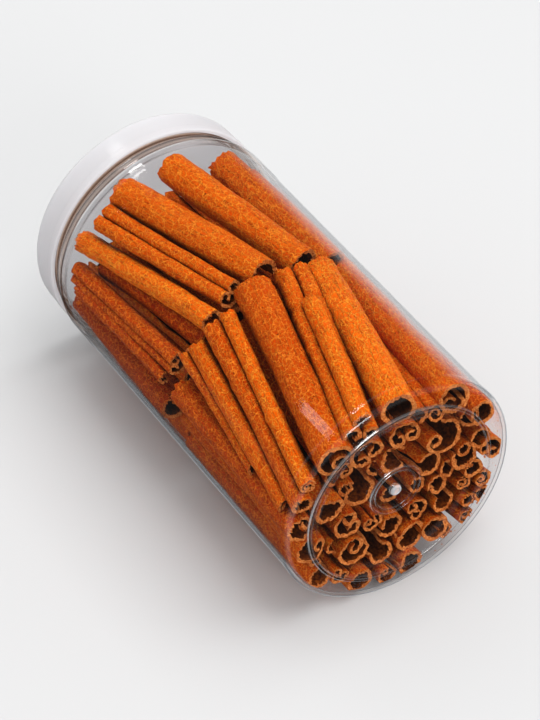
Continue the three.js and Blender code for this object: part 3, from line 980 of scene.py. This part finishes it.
def clear_plastic():
    """Clear thin moulded plastic with a faint cast waviness: it mirrors more, and greys what is behind
    it, the more it turns away, a painted shade on its outline. The marked beads mirror more too and are
    painted grey in place of the lines their refraction makes, and the neck is painted bronze in rings, a
    painted refraction of the bark seen through it. Lamps reach what is inside through it."""
    s = Shader("clear_plastic")
    place = s.node("TexCoord").outputs["Object"]
    bump = s.bump(s.noise(place, 45.0, 2.0), 0.1, 0.0006)
    mirror = s.node("BsdfPrincipled", {
        "Base Color": (1.0, 1.0, 1.0, 1.0), "Metallic": 1.0, "Roughness": 0.03, "Normal": bump,
    })
    marks = s.node("Attribute", attribute_name="moulded").outputs["Vector"]
    marks = s.node("SeparateXYZ", {0: marks})
    lens, neck, frost = (marks.outputs[axis] for axis in "XYZ")
    heel = s.node("Attribute", attribute_name="heel").outputs["Fac"]
    turned = s.node("LayerWeight", {"Blend": 0.5, "Normal": bump}).outputs["Facing"]
    shine = s.math("MULTIPLY_ADD", s.math("POWER", turned, 4.0), 0.75, 0.035)
    shine = s.math("MULTIPLY_ADD", lens, 0.5, shine, clamp=True)

    along = s.node("SeparateXYZ", {0: place}).outputs["X"]
    rings = s.math("SINE", s.math("MULTIPLY", along, 2 * math.pi / (PAINTED_RING_PITCH * MM)))
    # Painted shade: what shows through greys on the outline, sooner on the heel.
    rim = s.span(s.math("MULTIPLY_ADD", heel, 0.2, turned), 0.8, 0.88)
    passed = s.mix(rim, CLEAR, PAINTED_RIM_GREY)
    # Painted grey lines on the lenses.
    passed = s.mix(lens, passed, PAINTED_LENS_GREY)
    # Painted refraction: bronze rings on the neck.
    passed = s.mix(neck, passed, s.mix(s.span(rings, -0.3, 0.8), PAINTED_PALE_BRONZE, PAINTED_DARK_BRONZE))
    clear = s.node("BsdfTransparent", {"Color": passed})
    milky = s.node("BsdfDiffuse", {"Color": MILKY, "Normal": bump})
    surface = s.blend(s.math("MULTIPLY", frost, 0.5), s.blend(shine, clear, mirror), milky)

    path = s.node("LightPath")
    through = s.math("MAXIMUM", path.outputs["Is Shadow Ray"], path.outputs["Is Diffuse Ray"])
    return s.finish(s.blend(through, surface, s.node("BsdfTransparent", {"Color": CLEAR})))


def white_plastic():
    """Glossy white moulded plastic, faintly uneven. Light comes through it, most of all inside."""
    s = Shader("white_plastic")
    place = s.node("TexCoord").outputs["Object"]
    cast = s.noise(place, 60.0, 3.0)
    fine = s.noise(place, 1500.0, 2.0)
    ground = s.mix(cast, colour("e2e3e6"), colour("e8e9ec"))
    height = s.math("ADD", cast, s.math("MULTIPLY", fine, 0.04))
    gloss = s.node("BsdfPrincipled", {
        "Base Color": ground, "Roughness": s.span(fine, 0.3, 0.7, 0.14, 0.2), "Specular IOR Level": 0.5,
        "Normal": s.bump(height, 0.15, 0.0004),
    })
    glow = s.node("BsdfTranslucent", {"Color": (0.93, 0.93, 0.94, 1.0)})
    inside = s.node("Attribute", attribute_name="inside").outputs["Fac"]
    return s.finish(s.blend(s.math("MULTIPLY_ADD", inside, 0.4, 0.5), gloss, glow))


def floor_material():
    s = Shader("pale_floor")
    noise = s.noise(s.node("TexCoord").outputs["Object"], 6.0, 2.0)
    ground = s.mix(noise, (0.508, 0.51, 0.513, 1), (0.518, 0.52, 0.523, 1))
    return s.finish(s.node("BsdfPrincipled", {
        "Base Color": ground, "Roughness": 0.9, "Specular IOR Level": 0.1,
    }))


# ------------------------------ studio

CAMERA_AZIMUTH = 57.86
CAMERA_ELEVATION = 42.93
CAMERA_DISTANCE = 0.991
CAMERA_TARGET = Vector((0.0114, -0.0048, 0.0483))
CAMERA_LENS = 150.0

# The light of the surroundings, and what glossy surfaces see of them instead: hardly anything but a low
# glow, dark towards DARK_SIDES, and a glow beyond each end of the jar.
WORLD_STRENGTH = 0.88
WORLD_REFLECTION = 0.03
LOW_REFLECTION = 0.8
END_REFLECTION = 0.3
LID_REFLECTION = 0.9
DARK_SIDES = ((-0.62, -0.45, -0.64), (0.62, 0.39, -0.68))

# Where on the jar's wall and on the lid the two windows are mirrored.
WALL_PATCH = Vector((0.077, -0.0247, 0.0782))
LID_PATCH = Vector((-0.0735, -0.0131, 0.0845))

# Each lamp: the direction it stands in, its distance, its sizes along and across the jar, its power, and
# what it faces. Glossy surfaces don't see the key.
LAMPS = {
    "key": ((0.1, 0.3, 0.9), 4.0, (3.3, 3.3), 148.0, CAMERA_TARGET),
    "strip": ((0.1, -0.2, 0.97), 1.5, (0.25, 0.35), 0.6, CAMERA_TARGET),
    "window": ((-0.597, -0.51, 0.62), 1.0, (0.05, 0.13), 0.035, WALL_PATCH),
    "lid_window": ((-0.686, -0.056, 0.726), 1.0, (0.035, 0.2), 0.4, LID_PATCH),
    "fill": ((0.9, -0.1, 0.5), 2.5, (0.8, 0.8), 14.0, CAMERA_TARGET),
}
FLOOR_HALF = 4.5


def direction(azimuth, elevation):
    """Where a view comes from. Azimuth 0 looks along +Y, and 90 looks along -X."""
    a, e = math.radians(azimuth), math.radians(elevation)
    return Vector((math.sin(a) * math.cos(e), -math.cos(a) * math.cos(e), math.sin(e)))


def add_camera():
    camera = bpy.data.objects.new("camera", bpy.data.cameras.new("camera"))
    camera.data.lens = CAMERA_LENS
    camera.data.sensor_width = 36.0
    camera.data.clip_start = 0.01
    towards = direction(CAMERA_AZIMUTH, CAMERA_ELEVATION)
    camera.location = CAMERA_TARGET + towards * CAMERA_DISTANCE
    camera.rotation_euler = towards.to_track_quat("Z", "Y").to_euler()
    bpy.context.scene.collection.objects.link(camera)
    bpy.context.scene.camera = camera


def add_area_light(name, towards, distance, size, power, aim):
    """A lamp that faces `aim` from a direction. The first of its sizes lies along the jar's axis."""
    lamp = bpy.data.lights.new(name, "AREA")
    lamp.shape = "RECTANGLE"
    lamp.size, lamp.size_y = size
    lamp.energy = power
    back = Vector(towards).normalized()
    side = (Vector((1, 0, 0)) - back * back.x).normalized()
    light = bpy.data.objects.new(name, lamp)
    light.matrix_world = Matrix((side, back.cross(side), back)).transposed().to_4x4()
    light.location = aim + back * distance
    light.visible_glossy = name != "key"
    bpy.context.scene.collection.objects.link(light)


def reflected_world(n):
    """How bright the surroundings look to a glossy surface, by direction."""
    way = n.node("TexCoord").outputs["Generated"]
    parts = n.node("SeparateXYZ", {0: way}).outputs
    nearness = [
        n.node("VectorMath", {0: way, 1: Vector(side).normalized()}, operation="DOT_PRODUCT")
        for side in DARK_SIDES
    ]
    nearest = n.math("MAXIMUM", *(dot.outputs["Value"] for dot in nearness))
    off_dark_sides = n.span(nearest, 0.85, 0.6)
    low = n.span(parts["Z"], 0.0, -0.4, 0.0, LOW_REFLECTION)
    total = n.math("MULTIPLY_ADD", low, off_dark_sides, WORLD_REFLECTION)
    beyond_base = n.span(parts["X"], 0.1, 0.4, 0.0, END_REFLECTION)
    beyond_lid = n.span(parts["X"], -0.7, -0.85, 0.0, LID_REFLECTION)
    beyond_ends = n.math("ADD", beyond_base, beyond_lid)
    return n.math("MULTIPLY_ADD", beyond_ends, n.span(parts["Z"], -0.4, 0.0), total)


def add_world():
    world = bpy.data.worlds.new("studio")
    world.use_nodes = True
    n = Nodes(world.node_tree)
    glossy = n.node("LightPath").outputs["Is Glossy Ray"]
    background = world.node_tree.nodes["Background"]
    n.put(background.inputs["Color"], (1.0, 1.0, 1.0, 1.0))
    n.put(background.inputs["Strength"], n.span(glossy, 0.0, 1.0, WORLD_STRENGTH, reflected_world(n)))
    bpy.context.scene.world = world


def add_floor():
    corners = [(x * FLOOR_HALF, y * FLOOR_HALF, 0) for x, y in ((-1, -1), (1, -1), (1, 1), (-1, 1))]
    floor = add_mesh("floor", corners, [np.array([[0, 1, 2, 3]])], [floor_material()])
    floor.visible_glossy = False


def add_studio():
    add_world()
    for name, settings in LAMPS.items():
        add_area_light(name, *settings)
    add_floor()
    bpy.context.scene.view_settings.view_transform = "Standard"


# ------------------------------ the whole thing

def build():
    bark = [bark_outside(), bark_inside(), bark_edge()]
    jar = lathe("jar_clear", jar_profile(), clear_plastic(), sharp_angle=60.0)
    mark_mouldings_and_painted_refraction(jar)
    lid = lathe("lid_white", lid_profile(), white_plastic(), sharp_angle=40.0)
    mark_lid_inside(lid)
    pieces = [(jar, ["jar"], "clear_plastic"), (lid, ["lid"], "white_lid")]
    base_wall, base_rest = base_tier()
    lid_wall, lid_rest = lid_tier(base_rest)
    # Name, quills, seed, points round the sheet and along it, and the node that each stands for.
    for name, quills, seed, samples, rings, node in (
        ("base_wall_quills", base_wall, 100, 46, 44, "sticks_base_tier"),
        ("base_inner_quills", base_rest, 200, 40, 16, "sticks_base_tier"),
        ("lid_wall_quills", lid_wall, 300, 46, 40, "sticks_lid_tier"),
        ("lid_inner_quills", lid_rest, 400, 36, 12, "sticks_lid_tier"),
    ):
        pieces.append((quill_piece(name, quills, seed, samples, rings, bark), [node], "cinnamon_bark"))
    pieces.append((crumb_piece("crumbs", 90, 500, bark[2]), [], "cinnamon_bark"))
    for piece, nodes, slot in pieces:
        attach(piece, "root")
        if nodes:
            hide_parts(*nodes)


build()
add_camera()
add_studio()
